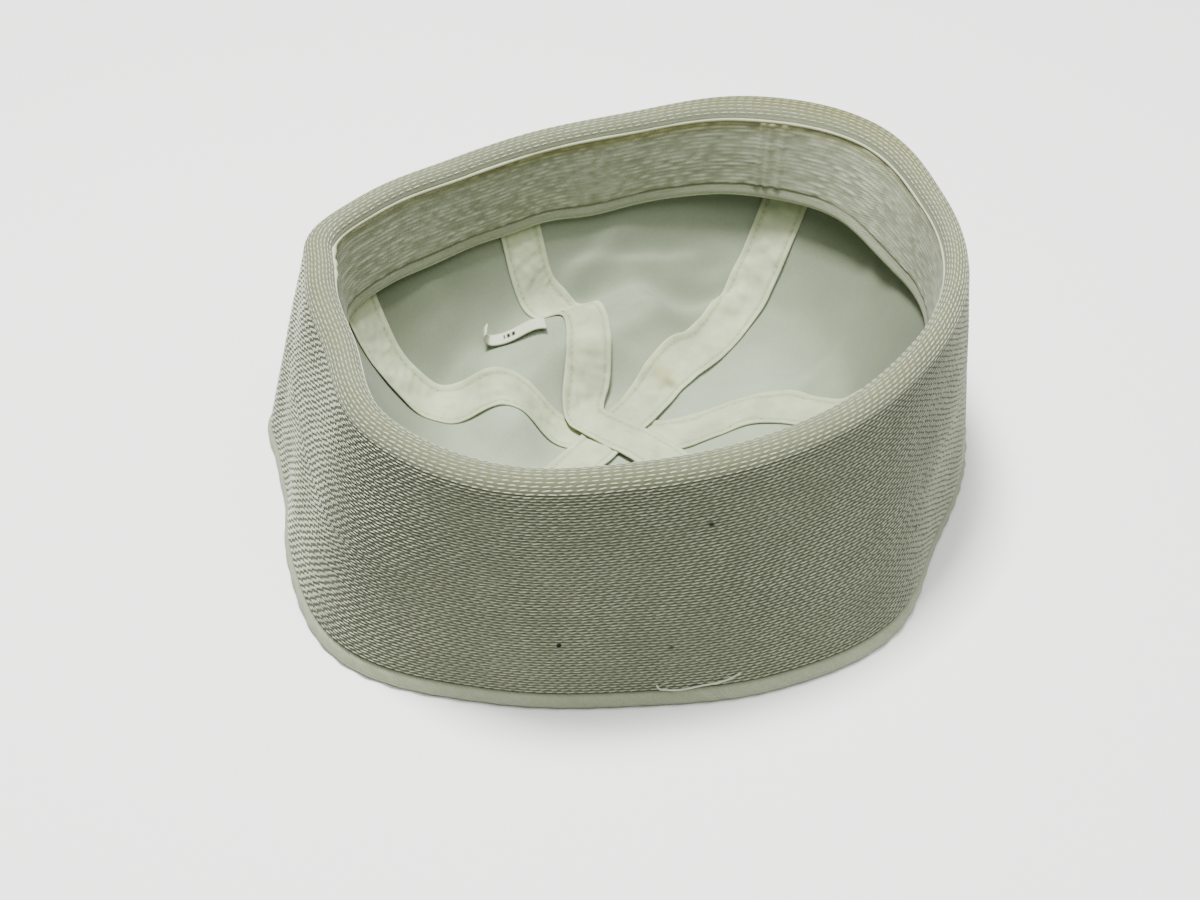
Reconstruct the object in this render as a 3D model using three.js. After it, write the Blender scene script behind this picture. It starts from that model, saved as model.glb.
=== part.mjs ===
// White cotton sailor cap lying crown down, with its head opening up and its brim turned up round it.
// Millimetres, +Z up. The brim's hem stands on Z = 0 and the crown hangs inside it.
import * as THREE from 'three';

// Cloth thicknesses and the clearance kept between pieces
const brimThickness = 2.6;
const hemThickness = 3.2;
const bandThickness = 1.8;
const crownThickness = 1.2;
const tapeThickness = 0.8;
const labelThickness = 1.0;
const gap = 0.3;
const seamGap = 0.6;

// Brim: one height of cloth all round, rolled over at the head opening
const brimSlant = 81;
const hemHeight = 6;
const rollWidth = 9;
const rollHeight = 4.5;

// Inner band below the rolled rim, and how the crown passes behind it
const bandDepth = 26.5;
const bandLean = 3;
const crownInset = 6.8;
const skirtInset = 5.6;
const skirtBelowRim = 6;

// Seam tapes and where the crown's seams cross, seen from above
const tapeWidth = 14.5;
const tapeStackStep = 1.2;
const crownCentre = { x: -6, y: 9.5 };

// Mesh steps
const ringSteps = 64;
const archSteps = 6;
const goreInnerColumns = 5;
const wallSteps = 3;
const wallBackSteps = 2;

// Plan of the brim about the cap's axis, in even steps: radius of the rim and of the hem
const brimSections = [
  { angle: 0, rim: 98, hem: 105 },
  { angle: 22.5, rim: 104, hem: 115.5 },
  { angle: 45, rim: 112, hem: 120 },
  { angle: 67.5, rim: 103.5, hem: 113 },
  { angle: 90, rim: 88, hem: 98 },
  { angle: 112.5, rim: 82.5, hem: 92 },
  { angle: 135, rim: 83.5, hem: 95 },
  { angle: 157.5, rim: 93, hem: 105 },
  { angle: 180, rim: 96, hem: 111.5 },
  { angle: 202.5, rim: 94, hem: 112.7 },
  { angle: 225, rim: 103, hem: 118.7 },
  { angle: 247.5, rim: 104.5, hem: 108 },
  { angle: 270, rim: 96.5, hem: 101 },
  { angle: 292.5, rim: 92, hem: 102.7 },
  { angle: 315, rim: 91, hem: 105 },
  { angle: 337.5, rim: 93.5, hem: 98.3 },
];

// Creases and soft spots: what each adds round its angle, spread in degrees, the rest in millimetres
const creases = [
  { angle: 168, spread: 8, rim: 5, hem: 11, lift: 0, roll: 0, lean: 0 },
  { angle: 190, spread: 8, rim: 0, hem: -3.2, lift: 0, roll: 0, lean: 0 },
  { angle: 62, spread: 22, rim: 1, hem: 0, lift: 1.6, roll: 4, lean: 0 },
  { angle: 40, spread: 18, rim: 0, hem: 0, lift: 0, roll: 0, lean: 5 },
  { angle: 2, spread: 26, rim: 0, hem: 0, lift: 0, roll: -1.8, lean: 0 },
  { angle: 122, spread: 36, rim: 0, hem: 0, lift: 0, roll: 0, lean: -1.5 },
];

// Height of the crown's cloth from its middle (0) to where it passes behind the band (1)
const crownProfile = [
  { reach: 0, height: 7 },
  { reach: 0.3, height: 7.2 },
  { reach: 0.5, height: 9.5 },
  { reach: 0.65, height: 13 },
  { reach: 0.78, height: 19 },
  { reach: 0.88, height: 31 },
  { reach: 1, height: 50 },
];

// Folds raised in the slack crown: middle, turn of the crest, half its length, fall on each side, height
const crownFolds = [
  { x: -13, y: 47.5, turn: 28, halfLength: 17, near: 22, far: 9, height: 15 },
  { x: -40, y: 15, turn: 105, halfLength: 10, near: 12, far: 12, height: 12 },
  { x: 42, y: 12, turn: 80, halfLength: 10, near: 18, far: 18, height: 7 },
];
const foldEndFall = 12;
const foldFade = 0.25;
const flatMiddle = [14, 30];

// Angle of each crown seam at these fractions of the way from the crown's middle to the band
const seamFractions = [0, 0.15, 0.35, 0.6, 0.8, 1];
const seams = [
  { name: 'right', angles: [-4, 2, 8, 7, 3, 0] },
  { name: 'back_right', angles: [60, 60, 59, 58, 58.5, 58.2] },
  { name: 'back_left', angles: [150, 143, 114, 107, 118, 119.5] },
  { name: 'left', angles: [182, 176, 166, 169, 168, 163] },
  { name: 'front_left', angles: [231, 231, 231, 232, 233, 235] },
  { name: 'front_right', angles: [324, 322, 316, 308, 303, 300] },
];
// Tapes from the lowest to the highest where they cross: the two seams that each one covers
const tapes = [
  { name: 'seam_tape_left_right', from: 3, to: 0 },
  { name: 'seam_tape_front_left_back_right', from: 4, to: 1 },
  { name: 'seam_tape_back_left_front_right', from: 2, to: 5 },
];
// Rows of cloth from the middle outwards; the tapes start at the fourth
const crownRows = [0.014, 0.05, 0.1, 0.16, 0.23, 0.31, 0.4, 0.49, 0.58, 0.66, 0.73, 0.79, 0.84, 0.885, 0.93, 1];
const firstTapeRow = 3;
const skirtRows = 2;
// A tape lies at its stacked height up to the first fraction and on the crown past the second
const stackEnd = 0.27;
const stackFoot = 0.42;

// Small folded label sewn beside the back left tape: its two ends in plan
const label = { sewnEnd: [-31, 40.5], freeEnd: [-47.5, 37], width: 5, steps: 6, clearance: 2.9, curl: 5 };

const radians = THREE.MathUtils.degToRad;

// A table column round the full circle, as a closed Catmull-Rom curve
function roundTable(rows, key, angle) {
  const step = 360 / rows.length;
  const place = THREE.MathUtils.euclideanModulo(angle, 360) / step;
  const first = Math.floor(place);
  const t = place - first;
  const [a, b, c, d] = [-1, 0, 1, 2].map((k) => rows[(first + k + rows.length) % rows.length][key]);
  const linear = (c - a) * t;
  const square = (2 * a - 5 * b + 4 * c - d) * t * t;
  const cube = (3 * b - a - 3 * c + d) * t * t * t;
  return 0.5 * (2 * b + linear + square + cube);
}

// Slope of an open table at one of its points
function tableSlope(xs, ys, i) {
  if (i === 0) return (ys[1] - ys[0]) / (xs[1] - xs[0]);
  const last = xs.length - 1;
  if (i === last) return (ys[last] - ys[last - 1]) / (xs[last] - xs[last - 1]);
  const before = xs[i] - xs[i - 1];
  const after = xs[i + 1] - xs[i];
  const slopeBefore = (ys[i] - ys[i - 1]) / before;
  const slopeAfter = (ys[i + 1] - ys[i]) / after;
  return (slopeBefore * after + slopeAfter * before) / (before + after);
}

// An open table read as a smooth curve through its points
function openTable(xs, ys, x) {
  const last = xs.length - 1;
  const held = THREE.MathUtils.clamp(x, xs[0], xs[last]);
  let i = 0;
  while (i < last - 1 && held >= xs[i + 1]) i += 1;
  const h = xs[i + 1] - xs[i];
  const t = (held - xs[i]) / h;
  const start = (2 * t ** 3 - 3 * t * t + 1) * ys[i] + (t ** 3 - 2 * t * t + t) * h * tableSlope(xs, ys, i);
  const end = (3 * t * t - 2 * t ** 3) * ys[i + 1] + (t ** 3 - t * t) * h * tableSlope(xs, ys, i + 1);
  return start + end;
}

// What the creases add at an angle
function creaseAt(key, angle) {
  return creases.reduce((sum, crease) => {
    const away = THREE.MathUtils.euclideanModulo(angle - crease.angle + 180, 360) - 180;
    return sum + crease[key] * Math.exp(-((away / crease.spread) ** 2));
  }, 0);
}

const rimRadius = (angle) => roundTable(brimSections, 'rim', angle) + creaseAt('rim', angle);
const hemRadius = (angle) => roundTable(brimSections, 'hem', angle) + creaseAt('hem', angle);
const crownRadius = (angle) => rimRadius(angle) - crownInset;
const rollSpan = (angle) => rollWidth + creaseAt('roll', angle);

// The rim's height follows from the brim's one height of cloth and how far it flares
function rimHeight(angle) {
  const flare = hemRadius(angle) - rimRadius(angle);
  return Math.sqrt(brimSlant ** 2 - flare ** 2) + creaseAt('lift', angle);
}

// Radius of the brim's outer face at a height
function wallRadius(angle, z) {
  return THREE.MathUtils.lerp(hemRadius(angle), rimRadius(angle), z / (rimHeight(angle) - rollHeight));
}

// A closed mesh from a list of points and a list of triangles, turned to face outwards
function solidGeometry(points, triangles) {
  let volume = 0;
  const cross = new THREE.Vector3();
  for (const [a, b, c] of triangles) {
    volume += points[a].dot(cross.crossVectors(points[b], points[c]));
  }
  const outward = volume < 0 ? triangles.map(([a, b, c]) => [a, c, b]) : triangles;
  const geometry = new THREE.BufferGeometry();
  const positions = points.flatMap((p) => [p.x, p.y, p.z]);
  geometry.setAttribute('position', new THREE.Float32BufferAttribute(positions, 3));
  geometry.setIndex(outward.flat());
  geometry.computeVertexNormals();
  return geometry;
}

// A ring of cloth whose section [radius, height] changes with the angle
function ringGeometry(sectionAt) {
  const points = [];
  const triangles = [];
  const sides = sectionAt(0).length;
  for (let i = 0; i < ringSteps; i += 1) {
    const angle = (360 * i) / ringSteps;
    for (const [radius, z] of sectionAt(angle)) {
      points.push(new THREE.Vector3(radius * Math.cos(radians(angle)), radius * Math.sin(radians(angle)), z));
    }
    const here = i * sides;
    const next = ((i + 1) % ringSteps) * sides;
    for (let j = 0; j < sides; j += 1) {
      const k = (j + 1) % sides;
      triangles.push([here + j, next + j, next + k], [here + j, next + k, here + k]);
    }
  }
  return solidGeometry(points, triangles);
}

// A sheet of cloth given as rows of point pairs, one on each face. Its quads are split along the
// diagonal that runs up the columns, or down them, so that one sheet can lie flat on another.
function sheetGeometry(rows, splitDown = false) {
  const columns = rows[0].length;
  const count = rows.length * columns;
  const points = [...rows.flat().map((pair) => pair[0]), ...rows.flat().map((pair) => pair[1])];
  const triangles = [];
  for (let i = 0; i < rows.length - 1; i += 1) {
    for (let j = 0; j < columns - 1; j += 1) {
      const a = i * columns + j;
      const b = a + columns;
      const quad = splitDown ? [b, a, a + 1, b + 1] : [a, a + 1, b + 1, b];
      for (const [p, q, r] of [[0, 1, 2], [0, 2, 3]]) {
        triangles.push([quad[p], quad[q], quad[r]], [count + quad[p], count + quad[r], count + quad[q]]);
      }
    }
  }
  const wall = (a, b) => triangles.push([a, b, count + b], [a, count + b, count + a]);
  const lastRow = (rows.length - 1) * columns;
  for (let j = 0; j < columns - 1; j += 1) {
    wall(j + 1, j);
    wall(lastRow + j, lastRow + j + 1);
  }
  for (let i = 0; i < rows.length - 1; i += 1) {
    wall(i * columns, (i + 1) * columns);
    wall((i + 2) * columns - 1, (i + 1) * columns - 1);
  }
  return solidGeometry(points, triangles);
}

// Brim section: up the outer face, over the rolled rim, down inside it to the lip, and back
function brimSection(angle) {
  const top = rimHeight(angle);
  const rim = rimRadius(angle);
  const span = rollSpan(angle);
  const springing = top - rollHeight;
  const bottom = hemHeight + gap;
  const section = [];
  for (let i = 0; i < wallSteps; i += 1) {
    const z = THREE.MathUtils.lerp(bottom, springing, i / wallSteps);
    section.push([wallRadius(angle, z), z]);
  }
  const middle = rim - span / 2;
  for (let i = 0; i <= archSteps; i += 1) {
    const turn = (Math.PI * i) / archSteps;
    section.push([middle + (span / 2) * Math.cos(turn), springing + rollHeight * Math.sin(turn)]);
  }
  for (let i = archSteps; i >= 0; i -= 1) {
    const turn = (Math.PI * i) / archSteps;
    const radius = middle + (span / 2 - brimThickness) * Math.cos(turn);
    section.push([radius, springing + (rollHeight - brimThickness) * Math.sin(turn)]);
  }
  for (let i = wallBackSteps - 1; i >= 0; i -= 1) {
    const z = THREE.MathUtils.lerp(bottom, springing, i / wallBackSteps);
    section.push([wallRadius(angle, z) - brimThickness, z]);
  }
  return section;
}

// Hem section: the turned-over edge of the brim, flat where it stands
function hemSection(angle) {
  const foot = hemRadius(angle);
  const head = wallRadius(angle, hemHeight);
  const edge = 0.6;
  return [
    [foot - edge, 0],
    [foot, edge],
    [head, hemHeight],
    [head - hemThickness, hemHeight],
    [foot - hemThickness, edge],
    [foot - hemThickness + edge, 0],
  ];
}

// Inner band section: hangs from the lip, leans in and ends in a rolled edge
function bandSection(angle) {
  const top = rimHeight(angle) - rollHeight - gap;
  const inner = rimRadius(angle) - rollSpan(angle);
  const lean = bandLean + creaseAt('lean', angle);
  const edge = bandThickness / 2;
  const face = [0, 0.5, 1].map((part) => [inner - lean * part, top - (bandDepth - edge) * part]);
  const back = face.map(([radius, z]) => [radius + bandThickness, z]).reverse();
  const roll = [[inner - lean + edge, top - bandDepth]];
  return [...face, ...roll, ...back];
}

// Height that the folds add to the crown
function foldHeight(x, y) {
  return crownFolds.reduce((sum, fold) => {
    const turn = radians(fold.turn);
    const along = (x - fold.x) * Math.cos(turn) + (y - fold.y) * Math.sin(turn);
    const across = (y - fold.y) * Math.cos(turn) - (x - fold.x) * Math.sin(turn);
    const fall = across < 0 ? fold.near : fold.far;
    const past = Math.max(Math.abs(along) - fold.halfLength, 0);
    return sum + fold.height * Math.exp(-((across / fall) ** 2) - (past / foldEndFall) ** 2);
  }, 0);
}

// Height of the middle of the crown's cloth over a point of the plan
function crownHeight(x, y) {
  const angle = THREE.MathUtils.radToDeg(Math.atan2(y, x));
  const reach = Math.min(Math.hypot(x, y) / crownRadius(angle), 1);
  const profile = openTable(crownProfile.map((row) => row.reach), crownProfile.map((row) => row.height), reach);
  const fade = THREE.MathUtils.smoothstep(1 - reach, 0, foldFade);
  const fromMiddle = Math.hypot(x - crownCentre.x, y - crownCentre.y);
  return profile + foldHeight(x, y) * fade * THREE.MathUtils.smoothstep(fromMiddle, ...flatMiddle);
}

// A crown point from the angle of its boundary point and the fraction of the way out to it
function crownPoint(angle, fraction) {
  const reach = crownRadius(angle);
  const x = THREE.MathUtils.lerp(crownCentre.x, reach * Math.cos(radians(angle)), fraction);
  const y = THREE.MathUtils.lerp(crownCentre.y, reach * Math.sin(radians(angle)), fraction);
  return new THREE.Vector3(x, y, crownHeight(x, y));
}

// A point of the skirt that runs up behind the band to just under the rim
function skirtPoint(angle, part) {
  const foot = crownProfile[crownProfile.length - 1].height;
  // where the rolled rim is narrower, the skirt keeps behind the band
  const topInset = skirtInset + Math.min(creaseAt('roll', angle), 0);
  const radius = rimRadius(angle) - THREE.MathUtils.lerp(crownInset, topInset, part);
  const z = THREE.MathUtils.lerp(foot, rimHeight(angle) - skirtBelowRim, part);
  return new THREE.Vector3(radius * Math.cos(radians(angle)), radius * Math.sin(radians(angle)), z);
}

// Direction out of the crown's upper face at a point of the plan
function crownNormal(x, y) {
  const d = 0.2;
  const slopeX = (crownHeight(x + d, y) - crownHeight(x - d, y)) / (2 * d);
  const slopeY = (crownHeight(x, y + d) - crownHeight(x, y - d)) / (2 * d);
  return new THREE.Vector3(-slopeX, -slopeY, 1).normalize();
}

const skirtNormal = (angle) => new THREE.Vector3(-Math.cos(radians(angle)), -Math.sin(radians(angle)), 0);

// Angle of a seam, or of a place between two seams, at a fraction of the way out
function seamAngle(place, fraction) {
  const first = Math.floor(place);
  const lap = (k) => 360 * Math.floor(k / seams.length);
  const at = (k) => {
    const seam = seams[THREE.MathUtils.euclideanModulo(k, seams.length)];
    return openTable(seamFractions, seam.angles, fraction) + lap(k);
  };
  return THREE.MathUtils.lerp(at(first), at(first + 1), place - first);
}

const seamPoint = (place, fraction) => crownPoint(seamAngle(place, fraction), fraction);

// How far in gore widths a length in millimetres reaches from a seam, to one side of it
function sideStep(seam, side, fraction, length) {
  const probe = 0.02;
  const here = seamPoint(seam, fraction);
  const beside = seamPoint(seam + side * probe, fraction);
  return (length * probe) / Math.hypot(beside.x - here.x, beside.y - here.y);
}

// Where the columns of a gore's cloth lie between its two seams in one row
function goreColumns(gore, fraction) {
  const most = 0.44;
  const edge = [sideStep(gore, 1, fraction, seamGap / 2), sideStep(gore + 1, -1, fraction, seamGap / 2)];
  const tape = [
    Math.min(sideStep(gore, 1, fraction, tapeWidth / 2), most),
    Math.min(sideStep(gore + 1, -1, fraction, tapeWidth / 2), most),
  ];
  const columns = [edge[0], tape[0]];
  for (let i = 1; i <= goreInnerColumns; i += 1) {
    columns.push(THREE.MathUtils.lerp(tape[0], 1 - tape[1], i / (goreInnerColumns + 1)));
  }
  columns.push(1 - tape[1], 1 - edge[1]);
  return columns.map((column) => gore + column);
}

const facePair = (point, normal, upper, lower) => [
  point.clone().addScaledVector(normal, upper),
  point.clone().addScaledVector(normal, lower),
];

// One gore of the crown, from the crossing of the seams out and up behind the band
function goreGeometry(gore) {
  const half = crownThickness / 2;
  const rows = crownRows.map((fraction) => goreColumns(gore, fraction).map((place) => {
    const point = seamPoint(place, fraction);
    const normal = fraction < 1 ? crownNormal(point.x, point.y) : skirtNormal(seamAngle(place, 1));
    return facePair(point, normal, half, -half);
  }));
  for (let i = 1; i <= skirtRows; i += 1) {
    rows.push(goreColumns(gore, 1).map((place) => {
      const angle = seamAngle(place, 1);
      return facePair(skirtPoint(angle, i / skirtRows), skirtNormal(angle), half, -half);
    }));
  }
  return sheetGeometry(rows);
}

// One arm of a tape along a seam, as rows from the middle outwards
function tapeArm(seam, layer) {
  const sides = [[-1, tapeWidth / 2], [-1, seamGap / 2], [1, seamGap / 2], [1, tapeWidth / 2]];
  return crownRows.slice(firstTapeRow).map((fraction) => {
    const stacked = 1 - THREE.MathUtils.smoothstep(fraction, stackEnd, stackFoot);
    const lower = crownThickness / 2 + gap + layer * tapeStackStep * stacked;
    return sides.map(([side, length]) => {
      const place = seam + side * sideStep(seam, side, fraction, length);
      const point = seamPoint(place, fraction);
      const normal = fraction < 1 ? crownNormal(point.x, point.y) : skirtNormal(seamAngle(place, 1));
      return facePair(point, normal, lower + tapeThickness, lower);
    });
  });
}

// A whole tape: in along one seam, over the middle and out along the opposite one
function tapeGeometry(tape, layer) {
  const inward = tapeArm(tape.from, layer).reverse();
  const outward = tapeArm(tape.to, layer).map((row) => [...row].reverse());
  return sheetGeometry([...inward, ...outward], true);
}

// The folded label, sewn flat at one end and curling up at the other
function labelGeometry() {
  const start = new THREE.Vector2(...label.sewnEnd);
  const end = new THREE.Vector2(...label.freeEnd);
  const along = end.clone().sub(start).normalize();
  const across = new THREE.Vector2(-along.y, along.x).multiplyScalar(label.width / 2);
  const rows = [];
  for (let i = 0; i <= label.steps; i += 1) {
    const part = i / label.steps;
    const middle = start.clone().lerp(end, part);
    const z = crownHeight(middle.x, middle.y) + label.clearance + label.curl * part ** 3;
    rows.push([-1, 1].map((side) => {
      const x = middle.x + side * across.x;
      const y = middle.y + side * across.y;
      return [new THREE.Vector3(x, y, z + labelThickness), new THREE.Vector3(x, y, z)];
    }));
  }
  return sheetGeometry(rows);
}

const materials = {
  stitchedCotton: { color: 0xb4b5a4, roughness: 0.92, metalness: 0 },
  hemCotton: { color: 0xb9baa6, roughness: 0.9, metalness: 0 },
  bandCotton: { color: 0xb0b39f, roughness: 0.92, metalness: 0 },
  crownTwill: { color: 0xc6ccbc, roughness: 0.9, metalness: 0 },
  tapeTwill: { color: 0xd6dac2, roughness: 0.9, metalness: 0 },
  labelTape: { color: 0xdfe1d2, roughness: 0.85, metalness: 0 },
};

const cap = new THREE.Group();

function addPiece(name, geometry, finish) {
  const mesh = new THREE.Mesh(geometry, new THREE.MeshStandardMaterial(materials[finish]));
  mesh.name = name;
  cap.add(mesh);
}

addPiece('brim', ringGeometry(brimSection), 'stitchedCotton');
addPiece('brim_hem', ringGeometry(hemSection), 'hemCotton');
addPiece('inner_band', ringGeometry(bandSection), 'bandCotton');
seams.forEach((seam, i) => {
  const next = seams[(i + 1) % seams.length];
  addPiece(`crown_gore_${seam.name}_to_${next.name}`, goreGeometry(i), 'crownTwill');
});
tapes.forEach((tape, layer) => addPiece(tape.name, tapeGeometry(tape, layer), 'tapeTwill'));
addPiece('label', labelGeometry(), 'labelTape');

// The origin is under the middle of the cap's box
const middle = new THREE.Box3().setFromObject(cap).getCenter(new THREE.Vector3());
cap.position.set(-middle.x, -middle.y, 0);

export default cap;
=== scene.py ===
import math
import bmesh
import bpy
import numpy as np
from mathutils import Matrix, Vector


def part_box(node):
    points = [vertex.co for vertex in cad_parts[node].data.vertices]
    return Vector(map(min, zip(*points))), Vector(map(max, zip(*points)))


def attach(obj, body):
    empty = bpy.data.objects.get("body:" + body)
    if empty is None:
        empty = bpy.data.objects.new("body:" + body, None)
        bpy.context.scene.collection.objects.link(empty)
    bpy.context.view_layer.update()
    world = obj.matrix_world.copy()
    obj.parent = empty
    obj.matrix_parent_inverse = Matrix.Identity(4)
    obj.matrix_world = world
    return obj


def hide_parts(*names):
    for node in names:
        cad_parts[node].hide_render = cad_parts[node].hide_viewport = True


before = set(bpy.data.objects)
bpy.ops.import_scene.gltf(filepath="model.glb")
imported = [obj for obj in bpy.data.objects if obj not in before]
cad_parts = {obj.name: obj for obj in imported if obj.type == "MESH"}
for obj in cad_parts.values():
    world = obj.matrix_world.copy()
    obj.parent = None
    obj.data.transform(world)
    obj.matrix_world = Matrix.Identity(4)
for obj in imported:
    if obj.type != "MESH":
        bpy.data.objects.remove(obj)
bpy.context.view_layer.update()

mm = 0.001


cap = {
    "brimSlant": 81.0,        # height of cloth from hem to springing of the rolled rim
    "hemHeight": 6.0,
    "hemThickness": 3.2,
    "brimThickness": 2.6,
    "rollWidth": 9.0,         # how far the rolled rim reaches inwards
    "rollHeight": 4.5,
    "bandDepth": 26.5,
    "bandLean": 3.0,
    "bandThickness": 1.8,
    "crownInset": 6.8,
    "skirtInset": 5.6,
    "skirtBelowRim": 6.0,
    "tapeWidth": 14.5,
    "ringSteps": 64,          # steps of the frame's rings
    "crownCentre": (-6.0, 9.5),
    "hemGap": 0.3,            # between the hem strip and the brim's cloth above it
    "rollRowsEnd": 0.86,      # share of the roll that carries rows, before the smooth strip
    "hemMean": 106, "wallMean": 105, "bandMean": 88,      # mean radii, for lengths round
}

# angle, rim radius, hem radius
brimSections = np.array([
    (0, 98, 105), (22.5, 104, 115.5), (45, 112, 120), (67.5, 103.5, 113),
    (90, 88, 98), (112.5, 82.5, 92), (135, 83.5, 95), (157.5, 93, 105),
    (180, 96, 111.5), (202.5, 94, 112.7), (225, 103, 118.7), (247.5, 104.5, 108),
    (270, 96.5, 101), (292.5, 92, 102.7), (315, 91, 105), (337.5, 93.5, 98.3),
])


def table(keys, *rows):
    # one dictionary for each row, with these keys
    return [dict(zip(keys.split(), row)) for row in rows]


# what each crease adds round its angle
creases = table(
    "angle spread rim hem lift roll lean",
    (168, 8, 5, 11, 0, 0, 0),
    (190, 8, 0, -3.2, 0, 0, 0),
    (62, 22, 1, 0, 1.6, 4, 0),
    (40, 18, 0, 0, 0, 0, 5),
    (2, 26, 0, 0, 0, -1.8, 0),
    (122, 36, 0, 0, 0, 0, -1.5))

# share of the way out, height of the crown's cloth
crownProfile = np.array([(0, 7), (0.3, 7.2), (0.5, 9.5), (0.65, 13), (0.78, 19), (0.88, 31), (1, 50)])

# folds: middle of the crest, its turn, half its length, the fall on each side, height
crownFolds = table(
    "x y turn halfLength near far height",
    (-13, 47.5, 28, 17, 22, 9, 15),
    (-40, 15, 105, 10, 12, 12, 12),
    (42, 12, 80, 10, 18, 18, 7))
foldEndFall = 12
foldFade = 0.25
flatMiddle = (14, 30)

# angle of each seam at these shares of the way from the middle out to the band
seamShares = np.array([0, 0.15, 0.35, 0.6, 0.8, 1])
seams = [
    {"name": "right", "angles": [-4, 2, 8, 7, 3, 0]},
    {"name": "back_right", "angles": [60, 60, 59, 58, 58.5, 58.2]},
    {"name": "back_left", "angles": [150, 143, 114, 107, 118, 119.5]},
    {"name": "left", "angles": [182, 176, 166, 169, 168, 163]},
    {"name": "front_left", "angles": [231, 231, 231, 232, 233, 235]},
    {"name": "front_right", "angles": [324, 322, 316, 308, 303, 300]},
]

# from the lowest to the highest where they cross
tapes = [
    {"name": "seam_tape_left_right", "from": 3, "to": 0},
    {"name": "seam_tape_front_left_back_right", "from": 4, "to": 1},
    {"name": "seam_tape_back_left_front_right", "from": 2, "to": 5},
]


def roundTable(rows, column, angle):
    # a column read round the circle as a closed Catmull-Rom curve
    place = np.mod(angle, 360) / (360 / len(rows))
    first = np.floor(place).astype(int)
    t = place - first
    a, b, c, d = (rows[(first + k) % len(rows), column] for k in (-1, 0, 1, 2))
    bend = (2 * a - 5 * b + 4 * c - d) * t ** 2
    return 0.5 * (2 * b + (c - a) * t + bend + (3 * b - a - 3 * c + d) * t ** 3)


def openTable(xs, ys, x):
    # an open table read as a smooth curve through its points
    xs, ys = np.asarray(xs, float), np.asarray(ys, float)
    slope = np.gradient(ys, xs)
    x = np.clip(x, xs[0], xs[-1])
    i = np.clip(np.searchsorted(xs, x, side="right") - 1, 0, len(xs) - 2)
    h = xs[i + 1] - xs[i]
    t = (x - xs[i]) / h
    start = (2 * t ** 3 - 3 * t ** 2 + 1) * ys[i] + (t ** 3 - 2 * t ** 2 + t) * h * slope[i]
    end = (3 * t ** 2 - 2 * t ** 3) * ys[i + 1] + (t ** 3 - t ** 2) * h * slope[i + 1]
    return start + end


def smoothStep(x, low, high):
    t = np.clip((x - low) / (high - low), 0, 1)
    return t * t * (3 - 2 * t)


def around180(angle, middle):
    return np.mod(angle - middle + 180, 360) - 180


def creaseAt(key, angle):
    total = 0 * np.asarray(angle, float)
    for crease in creases:
        away = around180(angle, crease["angle"])
        total = total + crease[key] * np.exp(-((away / crease["spread"]) ** 2))
    return total


def rimRadius(angle):
    return roundTable(brimSections, 1, angle) + creaseAt("rim", angle)


def hemRadius(angle):
    return roundTable(brimSections, 2, angle) + creaseAt("hem", angle)


def rollSpan(angle):
    return cap["rollWidth"] + creaseAt("roll", angle)


def crownRadius(angle):
    return rimRadius(angle) - cap["crownInset"]


def rimHeight(angle):
    flare = hemRadius(angle) - rimRadius(angle)
    return np.sqrt(cap["brimSlant"] ** 2 - flare ** 2) + creaseAt("lift", angle)


def wallRadius(angle, z):
    share = z / (rimHeight(angle) - cap["rollHeight"])
    return hemRadius(angle) * (1 - share) + rimRadius(angle) * share


def foldHeight(x, y, folds):
    total = 0 * x
    for fold in folds:
        turn = math.radians(fold["turn"])
        along = (x - fold["x"]) * math.cos(turn) + (y - fold["y"]) * math.sin(turn)
        across = (y - fold["y"]) * math.cos(turn) - (x - fold["x"]) * math.sin(turn)
        fall = np.where(across < 0, fold["near"], fold["far"])
        past = np.maximum(np.abs(along) - fold["halfLength"], 0)
        total = total + fold["height"] * np.exp(-((across / fall) ** 2) - (past / foldEndFall) ** 2)
    return total


# small creases and soft swells that the frame's plain crown leaves out
fineFolds = table(
    "x y turn halfLength near far height",
    (2, 70, 16, 12, 5, 2.6, 3.4),
    (-12, 68, 40, 6, 3, 3, 2.2),
    (20, 60, 26, 10, 6, 2.4, 3.2),
    (68, 40, 52, 18, 4, 4, 2.2),
    (78, 22, 64, 14, 4, 4, 1.8),
    (-44, 44, 30, 12, 6, 5, 1.2),
    (-64, 30, 62, 10, 5, 5, 1.4),
    (8, 50, 34, 10, 3, 3, 1.5),
    (30, 72, 8, 8, 3, 3, 1.8),
    (-58, 50, 50, 8, 3, 3, 1.6),
    (-30, -20, 20, 22, 8, 8, 1.4),
    (20, -38, -30, 24, 9, 7, 1.6))

# uneven swells all over the crown, and the share next to the band that stays calm
swells = [{"height": 0.9, "seed": 11, "size": 34}, {"height": 0.4, "seed": 12, "size": 12}]
calmEdge = 0.08


def ripple(a, b, seed, size):
    # smooth, repeatable unevenness between -1 and 1; size is the length of a swell
    rng = np.random.default_rng(seed)
    total = 0 * (a + b)
    for k in range(7):
        turn = rng.uniform(0, 2 * math.pi)
        wave = size * rng.uniform(0.6, 1.7)
        shift = rng.uniform(0, 2 * math.pi)
        total = total + np.sin((a * math.cos(turn) + b * math.sin(turn)) * 2 * math.pi / wave + shift)
    return total / 7


def puckers(along, across, cell, row, seed):
    # rows of small uneven pillows, about 0 to 1 high; cell is their length and row their height
    rng = np.random.default_rng(seed)
    heights = rng.uniform(0, 1, (64, 512))
    line = across / row
    index = np.floor(line).astype(int)
    place = along / cell + 0.5 * index + 0.31 * np.sin(index * 2.4)
    first = np.floor(place).astype(int)
    t = place - first
    t = t * t * (3 - 2 * t)
    a = heights[index % 64, first % 512]
    b = heights[index % 64, (first + 1) % 512]
    return np.abs(np.sin(np.pi * line)) ** 0.8 * (a * (1 - t) + b * t)


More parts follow.
